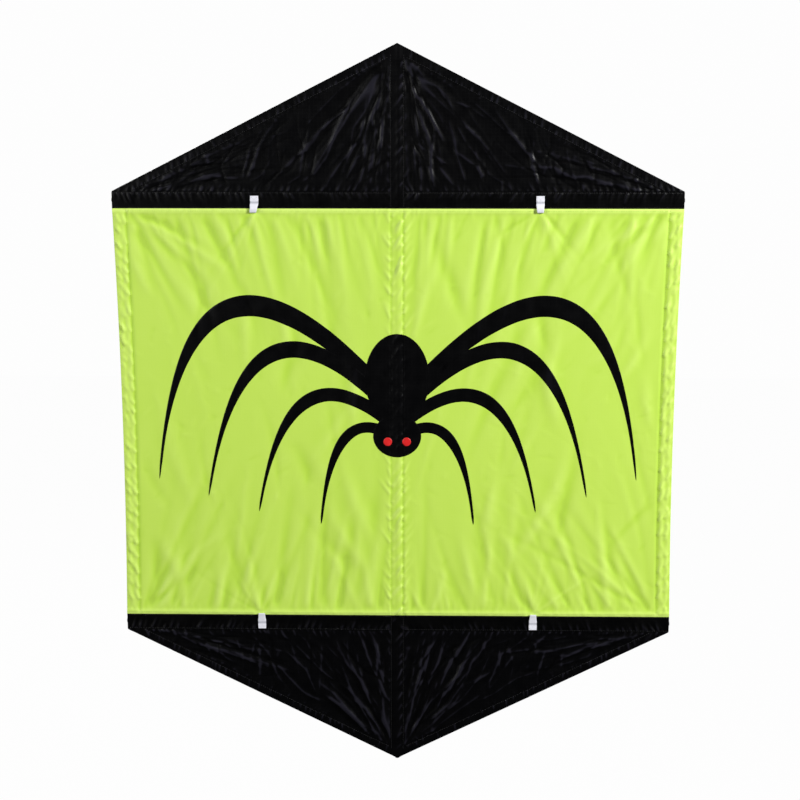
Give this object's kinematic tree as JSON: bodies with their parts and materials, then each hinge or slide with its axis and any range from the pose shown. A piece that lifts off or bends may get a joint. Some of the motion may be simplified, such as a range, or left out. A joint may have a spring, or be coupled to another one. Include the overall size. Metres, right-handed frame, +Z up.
{
  "type": "rokkaku kite",
  "caption": "Flat six-sided kite: ripstop sail in sleeves over a rod spine and plug-in spreaders, with folded tape bridle loops on the front.",
  "frame": {"origin": "on the sail's front face, in the middle of the four bridle loops", "axes": "+Z up along the spine to the nose, -Y out of the sail's front, +X to the right as seen from the front"},
  "size_m": [0.767, 0.0189, 1.0015],
  "materials": {
    "black_ripstop": "satin",
    "lime_ripstop": "satin",
    "fibreglass": "satin",
    "vinyl": "satin",
    "moulded_nylon": "satin",
    "aluminium": "satin",
    "white_tape": "matte"
  },
  "bodies": {
    "sail_and_frame": {"top_panel": "black_ripstop", "bottom_panel": "black_ripstop", "nose_hem_left": "black_ripstop", "nose_hem_right": "black_ripstop", "tail_hem_left": "black_ripstop", "tail_hem_right": "black_ripstop", "nose_pocket": "black_ripstop", "tail_pocket": "black_ripstop", "spine_sleeve_top": "black_ripstop", "spine_sleeve_bottom": "black_ripstop", "middle_panel": "lime_ripstop", "side_hem_left": "lime_ripstop", "side_hem_right": "lime_ripstop", "spine_sleeve_middle": "lime_ripstop", "spreader_sleeve_upper_left": "black_ripstop", "tip_patch_upper_left": "black_ripstop", "bridle_tab_upper_left": "white_tape", "spreader_sleeve_upper_right": "black_ripstop", "tip_patch_upper_right": "black_ripstop", "bridle_tab_upper_right": "white_tape", "spreader_sleeve_lower_left": "black_ripstop", "tip_patch_lower_left": "black_ripstop", "bridle_tab_lower_left": "white_tape", "spreader_sleeve_lower_right": "black_ripstop", "tip_patch_lower_right": "black_ripstop", "bridle_tab_lower_right": "white_tape", "spine_rod_upper": "fibreglass", "spine_cap_nose": "vinyl", "spine_ferrule": "aluminium", "cross_connector_upper": "moulded_nylon", "cross_connector_lower": "moulded_nylon"},
    "spreader_upper_left": {"spreader_rod_upper_left": "fibreglass", "spreader_cap_upper_left": "vinyl"},
    "spreader_upper_right": {"spreader_rod_upper_right": "fibreglass", "spreader_cap_upper_right": "vinyl"},
    "spreader_lower_left": {"spreader_rod_lower_left": "fibreglass", "spreader_cap_lower_left": "vinyl"},
    "spreader_lower_right": {"spreader_rod_lower_right": "fibreglass", "spreader_cap_lower_right": "vinyl"},
    "spine_lower": {"spine_rod_lower": "fibreglass", "spine_cap_tail": "vinyl"},
    "bridle_loop_upper_left": {"bridle_loop_upper_left": "white_tape"},
    "bridle_loop_upper_right": {"bridle_loop_upper_right": "white_tape"},
    "bridle_loop_lower_left": {"bridle_loop_lower_left": "white_tape"},
    "bridle_loop_lower_right": {"bridle_loop_lower_right": "white_tape"}
  },
  "joints": [
    {"name": "spreader_upper_left_slide", "type": "slide", "parent": "sail_and_frame", "child": "spreader_upper_left", "axis": [-0.9999, -0.0154, 0], "range_m": [0, 0.376]},
    {"name": "spreader_upper_right_slide", "type": "slide", "parent": "sail_and_frame", "child": "spreader_upper_right", "axis": [0.9999, -0.0154, 0], "range_m": [0, 0.376]},
    {"name": "spreader_lower_left_slide", "type": "slide", "parent": "sail_and_frame", "child": "spreader_lower_left", "axis": [-0.9999, -0.0154, 0], "range_m": [0, 0.376]},
    {"name": "spreader_lower_right_slide", "type": "slide", "parent": "sail_and_frame", "child": "spreader_lower_right", "axis": [0.9999, -0.0154, 0], "range_m": [0, 0.376]},
    {"name": "spine_lower_slide", "type": "slide", "parent": "sail_and_frame", "child": "spine_lower", "axis": [0, 0, -1], "range_m": [0, 0.49]},
    {"name": "bridle_loop_upper_left_hinge", "type": "hinge", "parent": "sail_and_frame", "child": "bridle_loop_upper_left", "pos_m": [-0.191, -0.0012, 0.2907], "axis": [-1, 0, 0], "range_deg": [0, 110], "stiffness_Nm_per_rad": 0.0006},
    {"name": "bridle_loop_upper_right_hinge", "type": "hinge", "parent": "sail_and_frame", "child": "bridle_loop_upper_right", "pos_m": [0.191, -0.0012, 0.2907], "axis": [-1, 0, 0], "range_deg": [0, 110], "stiffness_Nm_per_rad": 0.0006},
    {"name": "bridle_loop_lower_left_hinge", "type": "hinge", "parent": "sail_and_frame", "child": "bridle_loop_lower_left", "pos_m": [-0.191, -0.0012, -0.2937], "axis": [1, 0, 0], "range_deg": [0, 110], "stiffness_Nm_per_rad": 0.0006},
    {"name": "bridle_loop_lower_right_hinge", "type": "hinge", "parent": "sail_and_frame", "child": "bridle_loop_lower_right", "pos_m": [0.191, -0.0012, -0.2937], "axis": [1, 0, 0], "range_deg": [0, 110], "stiffness_Nm_per_rad": 0.0006}
  ]
}
